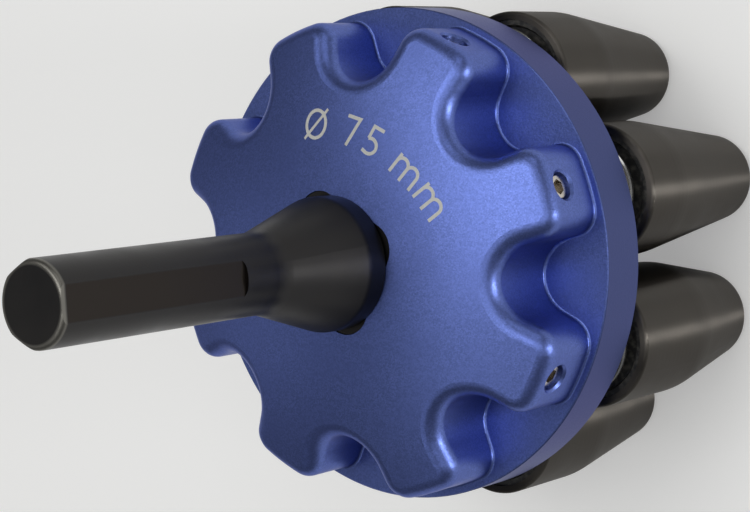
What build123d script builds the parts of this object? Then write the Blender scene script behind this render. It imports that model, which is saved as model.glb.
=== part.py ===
from build123d import *
from math import asin, cos, floor, pi, radians, sin, sqrt, tan
import os

# Pipe belling tool for 75 mm plastic pipe. It is driven by a drill: eight
# tapered rollers spin on fixed pins round the tool's axis and widen the warm
# pipe end to a socket. Millimetres, +Z along the tool's axis towards the drill
# shank, origin under the middle of the eight roller ends, which it stands on.
# Roller 1 lies on +X and the numbers go round counter-clockwise, seen from
# the shank.

os.makedirs("parts", exist_ok=True)

# Flange and lobed boss, one aluminium piece. The insets count from the rim.
flange_d = 74.0
flange_t = 8.5
flange_front_edge = 0.2
flange_rear_edge = 0.4
boss_inset = 1.3
boss_height = 16.3
dome_radius = 107.0
scallop_inset = 5.05
scallop_r = 5.75
scallop_flare = 21.0
lobe_corner = 3.5
lobe_rounding = 2.6
foot_fillet = 0.4

# Rollers, as many as fit round the flange with the least gap between them. The
# land at the big end grows from one roller to the next, in rounds of four, so
# that the pipe widens in steps.
pin_inset = 8.0
roller_d = 20.3
roller_gap = 1.8
roller_tip_d = 13.1
roller_length = 37.9
first_land = 9.0
land_step = 3.0
land_kinds = 4
taper_blend = 20.0
roller_tip_edge = 2.8
roller_lip_edge = 0.5
mouth_edge = 0.3
lip_wall = 1.2
stand_off = 3.2

# Drive shank, from the boss up: collar, cone, round part, three flats
collar_d = 19.6
collar_length = 3.0
collar_blend = 3.0
cone_length = 13.7
cone_blend = 9.0
shank_d = 11.5
shank_length = 41.3
shank_tip_edge = 0.7
flat_count = 3
flat_angle = -15.0
flat_depth = 0.56
flat_start = 7.7
flat_end_r = 1.6
collar_step = 1.1
square_corner = 4.0
square_length = 10.0
square_sink = 0.35
collar_seat_gap = 0.05
pocket_gap = 0.1
stud_d = 10.0
stud_gap = 0.1
stud_proud = 1.5
stud_edge = 0.8

# Nut and washer that hold the shank from behind
recess_d = 26.0
recess_depth = 6.0
washer_d = 20.0
washer_t = 2.0
washer_edge = 0.3
nut_flats = 16.0
nut_height = 8.0
nut_edge = 0.8

# Roller pins, clamped by radial grub screws
pin_d = 6.0
pin_below_apex = 6.8
pin_bore_spare = 0.5
pin_shoulder_d = 8.4
pin_end_past_clip = 1.0
pin_edge = 0.4
screw_below_pin_top = 3.1
screw_d = 4.0
screw_recess = 0.9
screw_point_edge = 0.4
screw_socket = 2.0
screw_socket_depth = 1.6
screw_mouth_d = 4.8
screw_mouth_spare = 0.2
screw_flat_depth = 0.5
screw_flat_gap = 0.3
fit_gap = 0.02

# Bearings, seals, spacers and clips inside each roller
bearing_od = 15.0
bearing_width = 5.0
bearing_span = 6.0
ball_sink = 0.38
ball_count = 7
ball_gap = 0.08
inner_ring_wall = 1.43
outer_ring_wall = 1.43
spacer_rim_gap = 0.3
spacer_flange_t = 1.9
spacer_groove = 0.3
spacer_neck_d = 8.8
spacer_edge = 0.2
seal_recess = 0.5
seal_t = 1.6
seal_gap = 0.2
seal_lip_gap = 0.3
seal_lip_t = 0.7
seal_lip_length = 1.2
seal_bead = 0.8
clip_d = 9.0
clip_t = 0.7
clip_groove = 0.5
clip_mouth = 3.6
clip_room = 3.0
clip_gap = 1.0

# Radii and the number of rollers
boss_r = flange_d / 2 - boss_inset
scallop_pitch_r = flange_d / 2 - scallop_inset
pin_r = flange_d / 2 - pin_inset
roller_count = floor(pi / asin((roller_d + roller_gap) / 2 / pin_r))
step = 360 / roller_count
mouth_d = roller_d - 2 * lip_wall
spacer_flange_d = 2 * (pin_inset - spacer_rim_gap)
shank_r = shank_d / 2
square_side = collar_d - 2 * collar_step
inner_ring_r = pin_d / 2 + inner_ring_wall
outer_bore_r = bearing_od / 2 - outer_ring_wall
race_r = (inner_ring_r + outer_bore_r) / 2
ball_d = outer_bore_r - inner_ring_r + 2 * ball_sink

# Heights above the roller tips
lip_z = roller_length
rear_z = lip_z + stand_off
front_z = rear_z + flange_t
apex_z = front_z + boss_height
mouth_depth = seal_recess + seal_t + seal_gap
upper_bearing_z = lip_z - mouth_depth - bearing_width
lower_bearing_z = upper_bearing_z - bearing_span - bearing_width
pin_top_z = apex_z - pin_below_apex
screw_z = pin_top_z - screw_below_pin_top
collar_top_z = apex_z + collar_length
cone_top_z = collar_top_z + cone_length
tip_z = cone_top_z + shank_length
recess_z = rear_z + recess_depth
nut_top_z = recess_z - washer_t


def dome_z(r):
    """Height of the domed boss face at the radius r."""
    return apex_z - dome_radius + sqrt(dome_radius ** 2 - r ** 2)


collar_z = dome_z(square_side / 2) + collar_seat_gap
square_top_z = collar_z - square_sink
base_z = square_top_z - square_length


def turned_to(piece, number):
    """Copy of a piece of roller 1, turned to the place of another roller."""
    with BuildPart() as copy:
        with PolarLocations(0, 1, start_angle=number * step):
            add(piece.part)
    return copy


# Upright section through the axis of roller 1, and that axis
section = Plane(origin=(pin_r, 0, 0), x_dir=(1, 0, 0), z_dir=(0, -1, 0))
axle = Axis((pin_r, 0, 0), (0, 0, 1))

# Shape of one screw hole, from the pin bore out through the lobe
with BuildPart() as screw_bore:
    with BuildSketch(Plane.YZ.offset(pin_r) * Pos(0, screw_z)):
        Circle(screw_d / 2 + fit_gap)
    extrude(amount=boss_r - pin_r + screw_mouth_spare)
    with BuildSketch(Plane.YZ.offset(boss_r + screw_mouth_spare) * Pos(0, screw_z)):
        Circle(screw_mouth_d / 2 + screw_mouth_spare)
    extrude(amount=-(screw_mouth_d - screw_d) / 2 - screw_mouth_spare, taper=45)

# Flange and lobed boss. The scallops leave eight lobes, each over one pin.
flank_turn = radians(90 + scallop_flare)
flank_x = scallop_pitch_r + scallop_r * cos(flank_turn)
flank_y = scallop_r * sin(flank_turn)
mouth_x = boss_r + lobe_corner
mouth_y = flank_y + (mouth_x - flank_x) * tan(radians(scallop_flare))
with BuildPart() as hub_body:
    with BuildSketch(Plane.XY.offset(front_z)) as lobes:
        Circle(boss_r)
        with PolarLocations(0, roller_count, start_angle=step / 2):
            with Locations((scallop_pitch_r, 0)):
                Circle(scallop_r, mode=Mode.SUBTRACT)
            Polygon(
                (flank_x, flank_y), (mouth_x, mouth_y), (mouth_x, -mouth_y), (flank_x, -flank_y),
                align=None, mode=Mode.SUBTRACT,
            )
        tips = lobes.vertices().filter_by(lambda v: Vector(v.X, v.Y).length > boss_r - 0.01)
        fillet(tips, lobe_corner)
    extrude(amount=boss_height)
    with Locations((0, 0, apex_z - dome_radius)):
        Sphere(dome_radius, rotation=(90, 0, 0), mode=Mode.INTERSECT)
    top_face = hub_body.faces().sort_by(Axis.Z)[-1]
    fillet(top_face.edges(), lobe_rounding)
    with BuildSketch(Plane.XY.offset(rear_z)):
        Circle(flange_d / 2)
    extrude(amount=flange_t)
    rim = hub_body.edges().filter_by(GeomType.CIRCLE).filter_by(lambda e: e.radius > flange_d / 2 - 0.01)
    chamfer(rim.sort_by(Axis.Z)[-1], flange_front_edge)
    chamfer(rim.sort_by(Axis.Z)[0], flange_rear_edge)
    level = hub_body.edges().filter_by_position(Axis.Z, front_z - 0.01, front_z + 0.01)
    foot = level.filter_by(lambda e: Vector((e @ 0).X, (e @ 0).Y).length < boss_r + 0.05)
    fillet(foot, foot_fillet)
    # square pocket for the shank, through bore and rear recess for washer and nut
    pocket_side = square_side + 2 * pocket_gap
    with BuildSketch(Plane.XY.offset(base_z)):
        RectangleRounded(pocket_side, pocket_side, square_corner + pocket_gap, rotation=45)
    extrude(amount=apex_z - base_z, mode=Mode.SUBTRACT)
    with BuildSketch(Plane.XY.offset(rear_z)):
        Circle(stud_d / 2 + stud_gap)
    extrude(amount=base_z - rear_z, mode=Mode.SUBTRACT)
    with BuildSketch(Plane.XY.offset(rear_z)):
        Circle(recess_d / 2)
    extrude(amount=recess_depth, mode=Mode.SUBTRACT)
    # blind pin bores from behind
    with BuildSketch(Plane.XY.offset(rear_z)):
        with PolarLocations(pin_r, roller_count):
            Circle(pin_d / 2 + fit_gap)
    extrude(amount=pin_top_z + pin_bore_spare - rear_z, mode=Mode.SUBTRACT)
    # radial screw holes with a countersunk mouth
    with PolarLocations(0, roller_count):
        add(screw_bore.part, mode=Mode.SUBTRACT)
hub_body.part.label = "hub_body"
export_step(hub_body.part, "parts/hub_body.step")

# Drive shank: one turned steel piece with three milled flats, a cone down to
# a collar, and a square foot on a threaded stud that passes through the boss
with BuildPart() as drive_shank:
    with BuildSketch(Plane.XZ) as turned:
        with BuildLine():
            Polyline(
                (0, nut_top_z - nut_height - stud_proud),
                (stud_d / 2, nut_top_z - nut_height - stud_proud),
                (stud_d / 2, base_z),
                (square_side / 2, base_z),
                (square_side / 2, collar_z),
                (collar_d / 2, collar_z),
                (collar_d / 2, collar_top_z),
                (shank_r, cone_top_z),
                (shank_r, tip_z),
                (0, tip_z),
                close=True,
            )
        make_face()
        fillet(turned.vertices().filter_by(lambda v: abs(v.Y - collar_top_z) < 0.01), collar_blend)
        fillet(turned.vertices().filter_by(lambda v: abs(v.Y - cone_top_z) < 0.01), cone_blend)
        tip = turned.vertices().filter_by(lambda v: abs(v.Y - tip_z) < 0.01 and v.X > 0.01)
        fillet(tip, shank_tip_edge)
        stud_end = turned.vertices().group_by(Axis.Y)[0].filter_by(lambda v: v.X > 0.01)
        chamfer(stud_end, stud_edge)
    revolve(axis=Axis.Z)
    with BuildSketch(Plane.XY.offset(base_z)):
        RectangleRounded(square_side, square_side, square_corner, rotation=45)
    extrude(amount=square_length)
    flat_r = shank_r - flat_depth
    flat_cut = 2 * sqrt(shank_r ** 2 - flat_r ** 2) + flat_end_r / 2
    for number in range(flat_count):
        turn = radians(flat_angle + number * 360 / flat_count)
        outward = Vector(cos(turn), sin(turn), 0)
        flat_plane = Plane(origin=outward * flat_r, x_dir=Vector(-sin(turn), cos(turn), 0), z_dir=outward)
        low = cone_top_z + flat_start
        with BuildSketch(flat_plane):
            with Locations((0, (low + tip_z + shank_d) / 2)):
                RectangleRounded(flat_cut, tip_z + shank_d - low, flat_end_r)
        extrude(amount=shank_d, mode=Mode.SUBTRACT)
drive_shank.part.label = "drive_shank"
export_step(drive_shank.part, "parts/drive_shank.step")

# Washer and nut on the stud, inside the rear recess
with BuildPart() as stud_washer:
    with BuildSketch(Plane.XY.offset(nut_top_z)):
        Circle(washer_d / 2)
        Circle(stud_d / 2 + stud_gap, mode=Mode.SUBTRACT)
    extrude(amount=washer_t)
    rounds = stud_washer.edges().filter_by(GeomType.CIRCLE)
    chamfer(rounds.filter_by(lambda e: e.radius > washer_d / 2 - 0.01), washer_edge)
stud_washer.part.label = "stud_washer"
export_step(stud_washer.part, "parts/stud_washer.step")

with BuildPart() as stud_nut:
    with BuildSketch(Plane.XY.offset(nut_top_z - nut_height)):
        RegularPolygon(nut_flats / 2, 6, major_radius=False)
    extrude(amount=nut_height)
    with BuildSketch(Plane.XZ) as nut_turned:
        nut_corner = nut_flats / 2 / cos(radians(30))
        with Locations((nut_corner / 2, nut_top_z - nut_height / 2)):
            Rectangle(nut_corner, nut_height)
        outer = nut_turned.vertices().filter_by(lambda v: v.X > 0.01)
        chamfer(outer, nut_edge, nut_edge / 2)
    revolve(axis=Axis.Z, mode=Mode.INTERSECT)
    with BuildSketch(Plane.XY.offset(nut_top_z - nut_height)):
        Circle(stud_d / 2 + fit_gap)
    extrude(amount=nut_height, mode=Mode.SUBTRACT)
stud_nut.part.label = "stud_nut"
export_step(stud_nut.part, "parts/stud_nut.step")

# Grub screws, one through each lobe, their points on the flats of the pins
screw_point_r = pin_r + pin_d / 2 - screw_flat_depth
screw_head_r = boss_r - screw_recess
with BuildPart() as grub_screw:
    with BuildSketch(Plane.YZ.offset(screw_point_r)):
        with Locations((0, screw_z)):
            Circle(screw_d / 2)
    extrude(amount=screw_head_r - screw_point_r)
    chamfer(grub_screw.edges().filter_by(GeomType.CIRCLE), screw_point_edge)
    with BuildSketch(Plane.YZ.offset(screw_head_r)):
        with Locations((0, screw_z)):
            RegularPolygon(screw_socket / 2, 6, major_radius=False)
    extrude(amount=-screw_socket_depth, mode=Mode.SUBTRACT)
with BuildPart() as grub_screws:
    with PolarLocations(0, roller_count):
        add(grub_screw.part)
grub_screws.part.label = "grub_screws"
export_step(grub_screws.part, "parts/grub_screws.step")

# Roller pins: ground steel, a shoulder between the two bearings, a groove for
# the clip at the lower end and a flat for the grub screw at the upper end
upper_top_z = upper_bearing_z + bearing_width
lower_top_z = lower_bearing_z + bearing_width
clip_low_z = lower_bearing_z - clip_t
pin_low_z = clip_low_z - pin_end_past_clip
groove_r = pin_d / 2 - clip_groove
with BuildPart() as axle_pin:
    with BuildSketch(section):
        with BuildLine():
            Polyline(
                (0, pin_low_z),
                (pin_d / 2, pin_low_z),
                (pin_d / 2, clip_low_z),
                (groove_r, clip_low_z),
                (groove_r, lower_bearing_z),
                (pin_d / 2, lower_bearing_z),
                (pin_d / 2, lower_top_z),
                (pin_shoulder_d / 2, lower_top_z),
                (pin_shoulder_d / 2, upper_bearing_z),
                (pin_d / 2, upper_bearing_z),
                (pin_d / 2, pin_top_z),
                (0, pin_top_z),
                close=True,
            )
        make_face()
    revolve(axis=axle)
    levels = axle_pin.edges().filter_by(GeomType.CIRCLE).group_by(Axis.Z)
    chamfer(levels[-1] + levels[0], pin_edge)
    with BuildSketch(Plane.YZ.offset(screw_point_r)):
        with Locations((0, screw_z)):
            Rectangle(pin_d, screw_d + 2 * screw_flat_gap)
    extrude(amount=pin_d / 2, mode=Mode.SUBTRACT)

# Spacers between flange and upper bearing: a bright, grooved flange and a neck
# that bears on the inner ring
groove_z = rear_z - spacer_flange_t / 2
with BuildPart() as spacer:
    with BuildSketch(section):
        with BuildLine():
            Polyline(
                (pin_d / 2 + fit_gap, upper_top_z),
                (spacer_neck_d / 2, upper_top_z),
                (spacer_neck_d / 2, rear_z - spacer_flange_t),
                (spacer_flange_d / 2, rear_z - spacer_flange_t),
                (spacer_flange_d / 2, groove_z - spacer_groove),
                (spacer_flange_d / 2 - spacer_groove, groove_z),
                (spacer_flange_d / 2, groove_z + spacer_groove),
                (spacer_flange_d / 2, rear_z),
                (pin_d / 2 + fit_gap, rear_z),
                close=True,
            )
        make_face()
    revolve(axis=axle)
    brim = spacer.edges().filter_by(GeomType.CIRCLE)
    chamfer(brim.filter_by(lambda e: e.radius > spacer_flange_d / 2 - 0.01).sort_by(Axis.Z)[0], spacer_edge)
with BuildPart() as pin_spacers:
    with PolarLocations(0, roller_count):
        add(spacer.part)
pin_spacers.part.label = "pin_spacers"
export_step(pin_spacers.part, "parts/pin_spacers.step")

# Retaining clips, open rings sprung into the grooves of the pins
with BuildPart() as clip:
    with BuildSketch(Plane.XY.offset(clip_low_z)):
        with Locations((pin_r, 0)):
            Circle(clip_d / 2)
            Circle(groove_r + fit_gap, mode=Mode.SUBTRACT)
        with Locations((pin_r + clip_d / 2, 0)):
            Rectangle(clip_d, clip_mouth, mode=Mode.SUBTRACT)
    extrude(amount=clip_t)
with BuildPart() as pin_clips:
    with PolarLocations(0, roller_count):
        add(clip.part)
pin_clips.part.label = "pin_clips"
export_step(pin_clips.part, "parts/pin_clips.step")

# Ball bearings: two on each pin. The inner rings stay with the pins, the
# outer rings and the balls go round with the rollers.
outer_ring_r = bearing_od / 2 - fit_gap
race_groove_r = ball_d / 2 + ball_gap
bearing_lows = (lower_bearing_z, upper_bearing_z)
with BuildPart() as inner_ring_pair:
    for low in bearing_lows:
        with BuildSketch(section):
            with Locations(((pin_d / 2 + fit_gap + inner_ring_r) / 2, low + bearing_width / 2)):
                Rectangle(inner_ring_r - pin_d / 2 - fit_gap, bearing_width)
            with Locations((race_r, low + bearing_width / 2)):
                Circle(race_groove_r, mode=Mode.SUBTRACT)
        revolve(axis=axle)
with BuildPart() as bearing_inner_rings:
    with PolarLocations(0, roller_count):
        add(inner_ring_pair.part)
bearing_inner_rings.part.label = "bearing_inner_rings"
export_step(bearing_inner_rings.part, "parts/bearing_inner_rings.step")

with BuildPart() as outer_ring_pair:
    for low in bearing_lows:
        with BuildSketch(section):
            with Locations(((outer_bore_r + outer_ring_r) / 2, low + bearing_width / 2)):
                Rectangle(outer_ring_r - outer_bore_r, bearing_width)
            with Locations((race_r, low + bearing_width / 2)):
                Circle(race_groove_r, mode=Mode.SUBTRACT)
        revolve(axis=axle)

with BuildPart() as ball_pair:
    for low in bearing_lows:
        with Locations((pin_r, 0, low + bearing_width / 2)):
            with PolarLocations(race_r, ball_count):
                Sphere(ball_d / 2)

# Rubber dust seal, pressed into the mouth of the roller, with a thin lip
# that reaches in towards the spacer
seal_top_z = lip_z - seal_recess
seal_in_r = spacer_neck_d / 2 + seal_lip_gap
seal_out_r = mouth_d / 2 - fit_gap
with BuildPart() as seal:
    with BuildSketch(section):
        with BuildLine():
            Polyline(
                (seal_in_r, seal_top_z),
                (seal_in_r, seal_top_z - seal_lip_t),
                (seal_in_r + seal_lip_length, seal_top_z - seal_t),
                (seal_out_r, seal_top_z - seal_t),
                (seal_out_r, seal_top_z),
                (seal_out_r - seal_bead, seal_top_z),
                (seal_out_r - 1.5 * seal_bead, seal_top_z - seal_lip_t),
                (seal_in_r + seal_lip_length, seal_top_z - seal_lip_t),
                close=True,
            )
        make_face()
    revolve(axis=axle)

# Rollers: turned tapered sleeves, blind at the tip, bored from the big end
clip_floor_z = lower_bearing_z - clip_room


def sleeve_with(land):
    """Roller 1 with a cylindrical land of this length above its taper."""
    taper_z = lip_z - land
    with BuildPart() as sleeve:
        with BuildSketch(section) as outline:
            with BuildLine():
                Polyline(
                    (0, 0),
                    (roller_tip_d / 2, 0),
                    (roller_d / 2, taper_z),
                    (roller_d / 2, lip_z),
                    (mouth_d / 2, lip_z),
                    (mouth_d / 2, lip_z - mouth_depth),
                    (bearing_od / 2, lip_z - mouth_depth),
                    (bearing_od / 2, lower_bearing_z),
                    (clip_d / 2 + clip_gap, lower_bearing_z),
                    (clip_d / 2 + clip_gap, clip_floor_z),
                    (0, clip_floor_z),
                    close=True,
                )
            make_face()
            tip_corner = outline.vertices().group_by(Axis.Y)[0].sort_by(Axis.X)[-1]
            fillet(tip_corner, roller_tip_edge)
            fillet(outline.vertices().filter_by(lambda v: abs(v.Y - taper_z) < 0.01), taper_blend)
            lip_corners = outline.vertices().filter_by(lambda v: abs(v.Y - lip_z) < 0.01).sort_by(Axis.X)
            fillet(lip_corners[-1], roller_lip_edge)
            chamfer(lip_corners[0], mouth_edge)
        revolve(axis=axle)
    return sleeve


sleeves = [sleeve_with(first_land + kind * land_step) for kind in range(land_kinds)]

for number in range(roller_count):
    for name, piece in (
        ("axle_pin", axle_pin),
        ("bearing_outer_rings", outer_ring_pair),
        ("bearing_balls", ball_pair),
        ("seal", seal),
        ("roller", sleeves[number % land_kinds]),
    ):
        copy = turned_to(piece, number)
        copy.part.label = f"{name}_{number + 1}"
        export_step(copy.part, f"parts/{name}_{number + 1}.step")
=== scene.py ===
from math import cos, radians, sin, sqrt, tau

import bmesh
import bpy
from mathutils import Matrix, Vector


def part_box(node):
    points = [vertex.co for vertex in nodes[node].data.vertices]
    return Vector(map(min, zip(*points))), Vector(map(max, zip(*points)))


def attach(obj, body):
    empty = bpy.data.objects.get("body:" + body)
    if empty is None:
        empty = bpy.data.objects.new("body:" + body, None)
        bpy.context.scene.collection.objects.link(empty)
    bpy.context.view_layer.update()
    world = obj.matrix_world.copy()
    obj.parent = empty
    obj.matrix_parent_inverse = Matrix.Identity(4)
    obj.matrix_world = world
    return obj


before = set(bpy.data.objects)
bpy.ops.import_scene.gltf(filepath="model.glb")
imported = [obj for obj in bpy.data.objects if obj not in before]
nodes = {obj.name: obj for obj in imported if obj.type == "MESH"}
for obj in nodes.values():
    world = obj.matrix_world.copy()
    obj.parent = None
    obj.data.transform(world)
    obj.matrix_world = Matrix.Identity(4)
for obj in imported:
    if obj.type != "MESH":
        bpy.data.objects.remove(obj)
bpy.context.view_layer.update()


# Hub body: a round flange and an eight-lobed, slightly domed boss, turned and
# milled from one piece of aluminium. It is bead blasted all over and then dyed
# blue in the anodising bath, which leaves a satin surface full of tiny glints.
mm = 0.001
hub_low, hub_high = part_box("hub_body")


def linear(hex_colour):
    """An sRGB hex colour as linear red, green, blue and alpha."""
    values = [int(hex_colour[start:start + 2], 16) / 255 for start in (1, 3, 5)]
    return [v / 12.92 if v <= 0.04045 else ((v + 0.055) / 1.055) ** 2.4 for v in values] + [1.0]


def add_node(tree, kind, inputs, **settings):
    """A node with its settings. Each input is a plain value or an output to link.

    A colour mix has its share in input 0, its colours in 6 and 7, and its result in output 2.
    """
    node = tree.nodes.new(kind)
    for name, value in settings.items():
        setattr(node, name, value)
    for name, value in inputs.items():
        if isinstance(value, bpy.types.NodeSocket):
            tree.links.new(value, node.inputs[name])
        else:
            node.inputs[name].default_value = value
    return node


def new_surface(name, **plain):
    """A material with one shader, its plain sockets set: material, tree, shader, object coordinates."""
    material = bpy.data.materials.new(name)
    material.use_nodes = True
    tree = material.node_tree
    tree.nodes.clear()
    sockets = {key.replace("_", " "): value for key, value in plain.items()}
    shader = add_node(tree, "ShaderNodeBsdfPrincipled", sockets)
    add_node(tree, "ShaderNodeOutputMaterial", {"Surface": shader.outputs["BSDF"]})
    place = add_node(tree, "ShaderNodeTexCoord", {}).outputs["Object"]
    return material, tree, shader, place


def distance_from_axis(tree, place):
    """How far a place lies from the tool's axis, in metres."""
    across = add_node(tree, "ShaderNodeVectorMath", {0: place, 1: (1.0, 1.0, 0.0)}, operation="MULTIPLY")
    reach = add_node(tree, "ShaderNodeVectorMath", {0: across.outputs["Vector"]}, operation="LENGTH")
    return reach.outputs["Value"]


def finish_with(material, *names):
    """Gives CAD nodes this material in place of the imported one."""
    for name in names:
        nodes[name].data.materials.clear()
        nodes[name].data.materials.append(material)


def blue_anodised_aluminium():
    """Anodised aluminium, bead blasted: a dyed metal under a clear, harder oxide skin."""
    material, tree, shader, place = new_surface(
        "blue_anodised_aluminium", Metallic=1.0, Specular_Tint=linear("#8c98d2"),
        Coat_Weight=0.8, Coat_Roughness=0.42, Coat_IOR=1.5,
    )
    # The beads leave dimples of about 0.1 mm, drawn at 0.2 mm so that they show. The
    # hollows between them run together, so they are a little wider.
    dimple = 0.2 * mm
    hollow = dimple / 0.7
    facets = add_node(tree, "ShaderNodeTexVoronoi", {"Vector": place, "Scale": 1 / dimple})
    dimples = add_node(
        tree, "ShaderNodeTexNoise", {"Vector": place, "Scale": 1 / hollow, "Detail": 2.0, "Roughness": 0.6},
    )
    glint = add_node(tree, "ShaderNodeSeparateColor", {"Color": facets.outputs["Color"]}).outputs["Red"]
    grained = add_node(
        tree, "ShaderNodeMix", {0: glint, 6: linear("#435897"), 7: linear("#6579c8")}, data_type="RGBA",
    )
    # The dye takes a little unevenly over a few millimetres.
    dye_patch = 6 * mm
    clouds = add_node(tree, "ShaderNodeTexNoise", {"Vector": place, "Scale": 1 / dye_patch, "Detail": 3.0})
    dyed = add_node(
        tree, "ShaderNodeMix",
        {0: clouds.outputs["Fac"], 6: grained.outputs[2], 7: linear("#5165ae")}, data_type="RGBA",
    )
    # Painted shade: the turned rim of the flange is coloured a shade darker than the milled faces, standing
    # in for the darker light it reflects.
    rim_starts = hub_high[0] - 0.1 * mm
    rim_full = hub_high[0] - 0.02 * mm
    rim_painted_shade = add_node(
        tree, "ShaderNodeMapRange",
        {"Value": distance_from_axis(tree, place), "From Min": rim_starts, "From Max": rim_full},
    )
    shaded = add_node(
        tree, "ShaderNodeMix",
        {0: rim_painted_shade.outputs["Result"], 6: dyed.outputs[2], 7: linear("#323f76")}, data_type="RGBA",
    )
    tree.links.new(shaded.outputs[2], shader.inputs["Base Color"])
    satin = add_node(
        tree, "ShaderNodeMapRange",
        {"Value": dimples.outputs["Fac"], "From Min": 0.3, "From Max": 0.7, "To Min": 0.34, "To Max": 0.45},
    )
    tree.links.new(satin.outputs["Result"], shader.inputs["Roughness"])
    dimple_depth = 0.06 * mm
    bump = add_node(
        tree, "ShaderNodeBump",
        {"Height": dimples.outputs["Fac"], "Strength": 0.25, "Distance": dimple_depth},
    )
    tree.links.new(bump.outputs["Normal"], shader.inputs["Normal"])
    tree.links.new(bump.outputs["Normal"], shader.inputs["Coat Normal"])
    return material


finish_with(blue_anodised_aluminium(), "hub_body")


# Size mark: the pipe size, burnt into the blue skin of the domed face by a
# laser. It leaves a thin, matt, pale grey oxide, in strokes of an even width
# that follow an arc round the shank. Lengths here are in millimetres.
dome_radius = 107.0
dome_rise = 24.8
mark_proud = 0.02
mark_sunk = 0.05
stroke_width = 0.5
slash_width = 0.42
digit_height = 4.4
letter_height = 3.2
mark_centre = Vector((-6.1, -5.0))
mark_baseline_r = 24.5


def arc_points(centre, radii, start, end, count=14):
    """Points on an elliptic arc between two angles in degrees."""
    turns = [radians(start + (end - start) * i / count) for i in range(count + 1)]
    return [Vector((centre[0] + radii[0] * cos(t), centre[1] + radii[1] * sin(t))) for t in turns]


def stroke_mesh(points, width, closed):
    """One stroke as a flat bar of height 1, cut into short lengths so that it can bend."""
    longest_piece = 0.3
    sharpest_mitre = 0.5
    path = [Vector(point) for point in points]
    if closed:
        path.append(path[0].copy())
    fine = [path[0]]
    for start, end in zip(path, path[1:]):
        pieces = max(1, round((end - start).length / longest_piece))
        fine += [start.lerp(end, i / pieces) for i in range(1, pieces + 1)]
    if closed:
        fine.pop()
    mesh = bmesh.new()
    count = len(fine)
    rows = []
    for i, point in enumerate(fine):
        before = fine[(i - 1) % count] if closed or i > 0 else point
        after = fine[(i + 1) % count] if closed or i < count - 1 else point
        along = (after - before).normalized()
        mitre = along.dot((point - before).normalized()) if point != before else 1.0
        side = Vector((-along.y, along.x)) * width / 2 / max(mitre, sharpest_mitre)
        corners = [(point + side, 0), (point - side, 0), (point - side, 1), (point + side, 1)]
        rows.append([mesh.verts.new((p.x, p.y, level)) for p, level in corners])
    for i in range(count if closed else count - 1):
        row, following = rows[i], rows[(i + 1) % count]
        for c in range(4):
            mesh.faces.new((row[c], row[(c + 1) % 4], following[(c + 1) % 4], following[c]))
    if not closed:
        mesh.faces.new(rows[0])
        mesh.faces.new(reversed(rows[-1]))
    bmesh.ops.recalc_face_normals(mesh, faces=mesh.faces)
    data = bpy.data.meshes.new("stroke")
    mesh.to_mesh(data)
    mesh.free()
    return data


def united(meshes):
    """The strokes of one sign joined to a single closed mesh."""
    result = bpy.data.objects.new("sign", meshes[0])
    bpy.context.scene.collection.objects.link(result)
    for data in meshes[1:]:
        stroke = bpy.data.objects.new("stroke", data)
        bpy.context.scene.collection.objects.link(stroke)
        join = result.modifiers.new("join", "BOOLEAN")
        join.operation, join.solver, join.object = "UNION", "EXACT", stroke
        whole = bpy.data.meshes.new_from_object(result.evaluated_get(bpy.context.evaluated_depsgraph_get()))
        result.modifiers.clear()
        result.data = whole
        bpy.data.objects.remove(stroke)
    joined = result.data
    bpy.data.objects.remove(result)
    return joined


def placed_signs():
    """Each sign with its angle on the arc in degrees, its width, and its strokes.

    A sign's own origin is at its left on the baseline. A stroke is its points, its width and
    whether it closes on itself.
    """
    half = stroke_width / 2
    top = digit_height - half

    # The ring stops short of its start, because a closed stroke joins its own ends.
    diameter_width = 4.2
    ring = arc_points((diameter_width / 2, digit_height / 2), (1.81, 2.01), 90, 437, 35)
    slash = [(0.13, 0.02), (4.07, 4.38)]
    diameter = [(ring, stroke_width, True), (slash, slash_width, False)]

    seven_width = 2.6
    seven = [([(0.0, top), (seven_width - half, top), (0.8 + half, 0.0)], stroke_width, False)]

    five_width = 2.7
    neck = (0.2 + half, 2.3)
    bowl = arc_points((1.1, 1.35), (1.25, 1.1), 95, -105)
    five = [
        ([(2.5, top), (0.35 + half, top), neck], stroke_width, False),
        ([neck] + bowl, stroke_width, False),
        ([bowl[-1], (0.1, 0.45)], stroke_width, False),
    ]

    em_width = 4.8
    arch_reach, arch_rise = 1.055, 0.95
    em = [([(half, 0.0), (half, letter_height)], stroke_width, False)]
    for left in (half, half + 2 * arch_reach):
        arch_centre = (left + arch_reach, letter_height - arch_rise - half)
        arch = arc_points(arch_centre, (arch_reach, arch_rise), 180, 0)
        em.append((arch + [(left + 2 * arch_reach, 0.0)], stroke_width, False))

    return [
        (70.4, diameter_width, diameter), (55.9, seven_width, seven), (46.8, five_width, five),
        (31.2, em_width, em), (18.5, em_width, em),
    ]


def dome_height(place):
    """Height of the domed face above a place, in millimetres. The dome is part of a ball."""
    dome_top = hub_low[2] / mm + dome_rise
    return dome_top - dome_radius + sqrt(dome_radius ** 2 - place.length_squared)


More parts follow.
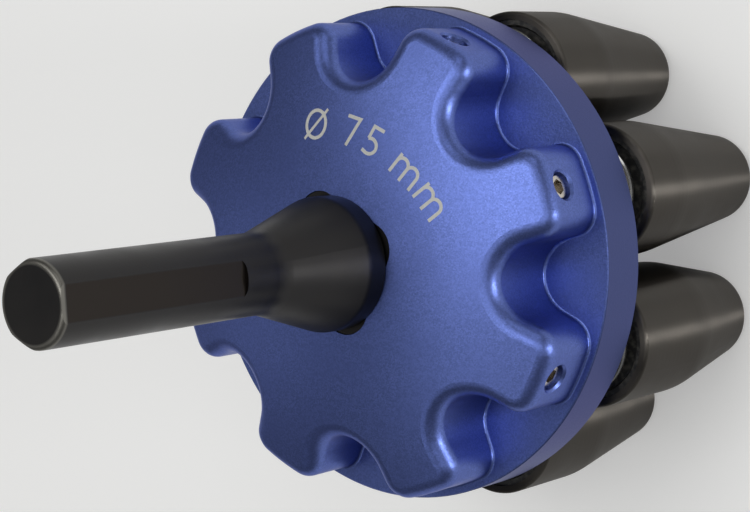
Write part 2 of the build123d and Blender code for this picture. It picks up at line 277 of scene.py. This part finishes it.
def size_mark():
    """All signs laid on the domed face along the arc, as one mesh."""
    laid = bmesh.new()
    for angle, width, strokes in placed_signs():
        outward = Vector((cos(radians(angle)), sin(radians(angle))))
        onward = Vector((outward.y, -outward.x))
        sign = bmesh.new()
        sign.from_mesh(united([stroke_mesh(*stroke) for stroke in strokes]))
        for vertex in sign.verts:
            from_centre = mark_baseline_r + vertex.co.y
            along_arc = vertex.co.x - width / 2
            flat = mark_centre + outward * from_centre + onward * along_arc
            # The upper side of a stroke is at height 1 and its underside at 0.
            lift = mark_proud if vertex.co.z > 0.5 else -mark_sunk
            vertex.co = Vector((flat.x, flat.y, dome_height(flat) + lift)) * mm
        data = bpy.data.meshes.new("sign")
        sign.to_mesh(data)
        sign.free()
        laid.from_mesh(data)
    mesh = bpy.data.meshes.new("size_mark")
    laid.to_mesh(mesh)
    laid.free()
    mark = bpy.data.objects.new("size_mark", mesh)
    bpy.context.scene.collection.objects.link(mark)
    return mark


def laser_marked_oxide():
    """Laser-bleached anodising: matt, pale warm grey, with the beads' dimples still in it."""
    material, tree, shader, place = new_surface("laser_marked_oxide", Metallic=0.0, Roughness=0.6)
    speck = 0.24 * mm
    specks = add_node(tree, "ShaderNodeTexNoise", {"Vector": place, "Scale": 1 / speck, "Detail": 2.0})
    tint = add_node(
        tree, "ShaderNodeMix",
        {0: specks.outputs["Fac"], 6: linear("#b2b2ac"), 7: linear("#d0d0ca")}, data_type="RGBA",
    )
    tree.links.new(tint.outputs[2], shader.inputs["Base Color"])
    return material


mark = size_mark()
mark.data.materials.append(laser_marked_oxide())
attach(mark, "tool_body")


# Drive shank: one steel turning with three milled flats, blacked in a hot
# oxide bath. The bath leaves a satin black skin with a faint brown cast on the
# milled flats.
shank_r = 5.75 * mm
shank_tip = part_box("drive_shank")[1][2]
tip_edge_band = 0.9 * mm


def black_oxide_steel():
    """Steel with a black oxide skin: dark and satin, browner on the milled flats, with a painted highlight
    on the rounded edge of the tip.
    """
    material, tree, shader, place = new_surface("black_oxide_steel", Metallic=1.0)
    blotch = 8 * mm
    blotches = add_node(tree, "ShaderNodeTexNoise", {"Vector": place, "Scale": 1 / blotch, "Detail": 4.0})
    skin = add_node(
        tree, "ShaderNodeMix",
        {0: blotches.outputs["Fac"], 6: linear("#323234"), 7: linear("#3e3c3a")}, data_type="RGBA",
    )
    # The flats lie nearer the axis than the round of the shank, and so does the stud
    # behind. The end face does too, and is told from them by its height.
    reach = distance_from_axis(tree, place)
    height = add_node(tree, "ShaderNodeSeparateXYZ", {"Vector": place}).outputs["Z"]
    round_ends = shank_r - 0.02 * mm
    flat_starts = shank_r - 0.08 * mm
    on_flat = add_node(
        tree, "ShaderNodeMapRange", {"Value": reach, "From Min": round_ends, "From Max": flat_starts},
    )
    below_tip = add_node(
        tree, "ShaderNodeMath", {0: height, 1: shank_tip - tip_edge_band}, operation="LESS_THAN",
    )
    on_side = add_node(
        tree, "ShaderNodeMath", {0: on_flat.outputs["Result"], 1: below_tip.outputs["Value"]},
        operation="MULTIPLY",
    )
    tint = add_node(
        tree, "ShaderNodeMix",
        {0: on_side.outputs["Value"], 6: skin.outputs[2], 7: linear("#34302d")}, data_type="RGBA",
    )
    # Painted highlight: the rounded edge of the tip is coloured a paler grey for the light its chamfer
    # catches.
    highlight_full_below_tip = 0.5 * mm
    highlight_full_inside_round = 0.6 * mm
    highlight_above = add_node(
        tree, "ShaderNodeMapRange",
        {"Value": height, "From Min": shank_tip - tip_edge_band, "From Max": shank_tip - highlight_full_below_tip},
    )
    highlight_outside = add_node(
        tree, "ShaderNodeMapRange",
        {"Value": reach, "From Min": shank_r - tip_edge_band, "From Max": shank_r - highlight_full_inside_round},
    )
    tip_highlight = add_node(
        tree, "ShaderNodeMath", {0: highlight_above.outputs["Result"], 1: highlight_outside.outputs["Result"]},
        operation="MULTIPLY",
    )
    highlighted = add_node(
        tree, "ShaderNodeMix",
        {0: tip_highlight.outputs["Value"], 6: tint.outputs[2], 7: linear("#77756f")}, data_type="RGBA",
    )
    tree.links.new(highlighted.outputs[2], shader.inputs["Base Color"])
    rubbed = add_node(
        tree, "ShaderNodeMapRange",
        {"Value": blotches.outputs["Fac"], "From Min": 0.3, "From Max": 0.7, "To Min": 0.33, "To Max": 0.45},
    )
    tree.links.new(rubbed.outputs["Result"], shader.inputs["Roughness"])
    grain_size = 0.4 * mm
    grain_depth = 0.05 * mm
    grain = add_node(tree, "ShaderNodeTexNoise", {"Vector": place, "Scale": 1 / grain_size, "Detail": 2.0})
    bump = add_node(
        tree, "ShaderNodeBump", {"Height": grain.outputs["Fac"], "Strength": 0.15, "Distance": grain_depth},
    )
    tree.links.new(bump.outputs["Normal"], shader.inputs["Normal"])
    return material


finish_with(black_oxide_steel(), "drive_shank")


# Washer and nut: stamped and cold formed from steel, then zinc plated. They sit
# on the stud in the recess behind, and pull the foot of the shank into its pocket.


def zinc_plated_steel():
    """Bright zinc on steel: pale, slightly blue, a little cloudy."""
    material, tree, shader, place = new_surface("zinc_plated_steel", Metallic=1.0, Roughness=0.32)
    cloud = 2 * mm
    clouds = add_node(tree, "ShaderNodeTexNoise", {"Vector": place, "Scale": 1 / cloud, "Detail": 4.0})
    tint = add_node(
        tree, "ShaderNodeMix",
        {0: clouds.outputs["Fac"], 6: linear("#b9bec4"), 7: linear("#d3d5d6")}, data_type="RGBA",
    )
    tree.links.new(tint.outputs[2], shader.inputs["Base Color"])
    return material


finish_with(zinc_plated_steel(), "stud_washer", "stud_nut")


# Grub screws: M4, stainless steel, cold formed with a hexagon socket. One is
# screwed in through each lobe, on to the flat of its pin.


def bright_stainless_steel():
    """Cold-formed stainless steel: bright and warm grey, finely marked by the tool."""
    material, tree, shader, place = new_surface("bright_stainless_steel", Metallic=1.0, Roughness=0.22)
    tool_mark = 0.5 * mm
    marks = add_node(tree, "ShaderNodeTexNoise", {"Vector": place, "Scale": 1 / tool_mark, "Detail": 3.0})
    tint = add_node(
        tree, "ShaderNodeMix",
        {0: marks.outputs["Fac"], 6: linear("#b5aca0"), 7: linear("#ded9d0")}, data_type="RGBA",
    )
    tree.links.new(tint.outputs[2], shader.inputs["Base Color"])
    return material


finish_with(bright_stainless_steel(), "grub_screws")


# Pins, spacers, clips and bearings: turned, hardened and ground steel, left
# bright. Each pin carries its roller on two ball bearings, with a spacer that
# keeps them off the flange and a clip that holds them on.
roller_count = len([name for name in nodes if name.startswith("roller_")])


def ground_steel():
    """Ground and polished steel: bright, with a fine even haze."""
    material, tree, shader, place = new_surface("ground_steel", Metallic=1.0, Roughness=0.2)
    haze_grain = 0.6 * mm
    haze = add_node(tree, "ShaderNodeTexNoise", {"Vector": place, "Scale": 1 / haze_grain, "Detail": 2.0})
    tint = add_node(
        tree, "ShaderNodeMix",
        {0: haze.outputs["Fac"], 6: linear("#b4b4b4"), 7: linear("#cfcfce")}, data_type="RGBA",
    )
    tree.links.new(tint.outputs[2], shader.inputs["Base Color"])
    return material


steel = ground_steel()
finish_with(steel, "pin_spacers", "pin_clips", "bearing_inner_rings")
for number in range(1, roller_count + 1):
    finish_with(steel, f"axle_pin_{number}", f"bearing_outer_rings_{number}", f"bearing_balls_{number}")


# Dust seals: rings moulded from black rubber. One is pressed into the mouth of
# each roller and keeps grit out of the bearings.


def moulded_rubber():
    """Black rubber, moulded: dull, a little dusty where grease has caught it."""
    material, tree, shader, place = new_surface("moulded_rubber", Roughness=0.5)
    dust_patch = 0.9 * mm
    dust = add_node(tree, "ShaderNodeTexNoise", {"Vector": place, "Scale": 1 / dust_patch, "Detail": 5.0})
    patches = add_node(
        tree, "ShaderNodeMapRange", {"Value": dust.outputs["Fac"], "From Min": 0.45, "From Max": 0.7},
    )
    tint = add_node(
        tree, "ShaderNodeMix",
        {0: patches.outputs["Result"], 6: linear("#141414"), 7: linear("#4a4843")}, data_type="RGBA",
    )
    tree.links.new(tint.outputs[2], shader.inputs["Base Color"])
    return material


rubber = moulded_rubber()
for number in range(1, roller_count + 1):
    finish_with(rubber, f"seal_{number}")


# Rollers: tapered steel sleeves, closed at the tip, fine turned, then blacked and
# oiled. Each spins freely on its bearings and widens the warm pipe as it goes in.


def black_roller_steel():
    """Fine-turned steel, blacked and oiled: the turning marks draw each light out along the roller."""
    material, tree, shader, place = new_surface(
        "black_roller_steel", Metallic=1.0, Anisotropic=1.0, Anisotropic_Rotation=0.25,
    )
    round_axis = add_node(tree, "ShaderNodeTangent", {}, direction_type="RADIAL", axis="Z")
    tree.links.new(round_axis.outputs["Tangent"], shader.inputs["Tangent"])
    film_patch = 7 * mm
    film = add_node(tree, "ShaderNodeTexNoise", {"Vector": place, "Scale": 1 / film_patch, "Detail": 4.0})
    tint = add_node(
        tree, "ShaderNodeMix",
        {0: film.outputs["Fac"], 6: linear("#494642"), 7: linear("#5a5651")}, data_type="RGBA",
    )
    tree.links.new(tint.outputs[2], shader.inputs["Base Color"])
    rubbed = add_node(
        tree, "ShaderNodeMapRange",
        {"Value": film.outputs["Fac"], "From Min": 0.3, "From Max": 0.7, "To Min": 0.35, "To Max": 0.42},
    )
    tree.links.new(rubbed.outputs["Result"], shader.inputs["Roughness"])
    # The turning marks are about 0.1 mm apart, drawn at 1.2 mm so that they show. At a
    # scale of 1 the wave repeats every tau / 20 metres.
    mark_spacing = 1.184 * mm
    mark_depth = 0.03 * mm
    wave_repeat = tau / 20
    marks = add_node(
        tree, "ShaderNodeTexWave", {"Vector": place, "Scale": wave_repeat / mark_spacing, "Distortion": 1.5},
        bands_direction="Z",
    )
    bump = add_node(
        tree, "ShaderNodeBump", {"Height": marks.outputs["Fac"], "Strength": 0.06, "Distance": mark_depth},
    )
    tree.links.new(bump.outputs["Normal"], shader.inputs["Normal"])
    return material


roller_steel = black_roller_steel()
for number in range(1, roller_count + 1):
    finish_with(roller_steel, f"roller_{number}")


# Studio: a pale painted floor, soft boxes overhead and in front, weaker ones at
# the sides, and a low one that draws a line of light along each roller.
floor_half = 1.5
floor_paleness = 0.27
light_target = Vector((0.0, 0.0, 0.05))
room_light = 0.14

floor_mesh = bpy.data.meshes.new("floor")
floor_mesh.from_pydata(
    [(-floor_half, -floor_half, 0), (floor_half, -floor_half, 0), (floor_half, floor_half, 0),
     (-floor_half, floor_half, 0)], [], [(0, 1, 2, 3)],
)
floor = bpy.data.objects.new("floor", floor_mesh)
bpy.context.scene.collection.objects.link(floor)
floor_paint, floor_tree, floor_shader, _ = new_surface(
    "floor_paint", Roughness=0.7, Base_Color=linear("#e2e2e0"), Emission_Color=linear("#ffffff"),
)
# Where the camera or a reflection sees the floor, it is a little paler than its paint.
rays = add_node(floor_tree, "ShaderNodeLightPath", {})
mirrored = add_node(
    floor_tree, "ShaderNodeMath", {0: rays.outputs["Is Glossy Ray"], 1: rays.outputs["Is Transmission Ray"]},
    operation="MAXIMUM",
)
seen = add_node(
    floor_tree, "ShaderNodeMath", {0: rays.outputs["Is Camera Ray"], 1: mirrored.outputs["Value"]},
    operation="MAXIMUM",
)
paleness = add_node(
    floor_tree, "ShaderNodeMath", {0: seen.outputs["Value"], 1: floor_paleness}, operation="MULTIPLY",
)
floor_tree.links.new(paleness.outputs["Value"], floor_shader.inputs["Emission Strength"])
floor_mesh.materials.append(floor_paint)


def soft_box(name, place, size, power):
    """A rectangular area light that looks at the part. Metres and watts."""
    lamp = bpy.data.lights.new(name, "AREA")
    lamp.shape = "RECTANGLE"
    lamp.size, lamp.size_y = size
    lamp.energy = power
    box = bpy.data.objects.new(name, lamp)
    box.location = place
    box.rotation_euler = (light_target - Vector(place)).to_track_quat("-Z", "Y").to_euler()
    bpy.context.scene.collection.objects.link(box)


soft_box("overhead_box", (0.06, 0.22, 0.97), (0.4, 0.4), 1.5)
soft_box("rear_box", (-0.15, 0.5, 0.85), (0.4, 0.5), 0.9)
soft_box("zenith_box", (-0.12, -0.04, 0.99), (0.3, 0.3), 0.6)
soft_box("front_box", (-0.3, -0.4, 0.86), (0.35, 0.35), 0.35)
soft_box("high_box", (0.45, -0.1, 0.88), (0.7, 0.7), 1.9)
soft_box("left_box", (-0.85, 0.1, 0.55), (0.5, 0.5), 0.3)
soft_box("right_box", (0.6, 0.6, 0.55), (0.5, 0.5), 0.9)
soft_box("low_box", (1.41, -0.51, 0.17), (0.3, 0.375), 8.1)

world = bpy.data.worlds.new("studio")
bpy.context.scene.world = world
world.use_nodes = True
background = world.node_tree.nodes["Background"]
background.inputs["Color"].default_value = linear("#ffffff")
background.inputs["Strength"].default_value = room_light


# Camera: at the photograph's place, matched to the outlines of flange, lobes,
# shank and rollers. Lengths in pixels are in the photograph's frame.
photo_size = (750, 512)
focal_px = 2109.7
centre_px = (429.35, 165.15)
camera_place = (0.19141, -0.03386, 0.30175)
camera_right = Vector((0.75666, -0.27526, -0.59304)).normalized()
camera_back = Vector((0.57804, -0.14220, 0.80352)).normalized()
camera_data = bpy.data.cameras.new("camera")
camera_data.sensor_width = 36.0
camera_data.lens = focal_px / photo_size[0] * camera_data.sensor_width
camera_data.shift_x = (photo_size[0] / 2 - centre_px[0]) / photo_size[0]
camera_data.shift_y = (centre_px[1] - photo_size[1] / 2) / photo_size[0]
camera_data.clip_start = 0.01
camera = bpy.data.objects.new("camera", camera_data)
camera_up = camera_back.cross(camera_right)
axes = Matrix((camera_right, camera_up, camera_back)).transposed().to_4x4()
camera.matrix_world = Matrix.Translation(camera_place) @ axes
bpy.context.scene.collection.objects.link(camera)
bpy.context.scene.camera = camera

bpy.context.scene.view_settings.view_transform = "Standard"
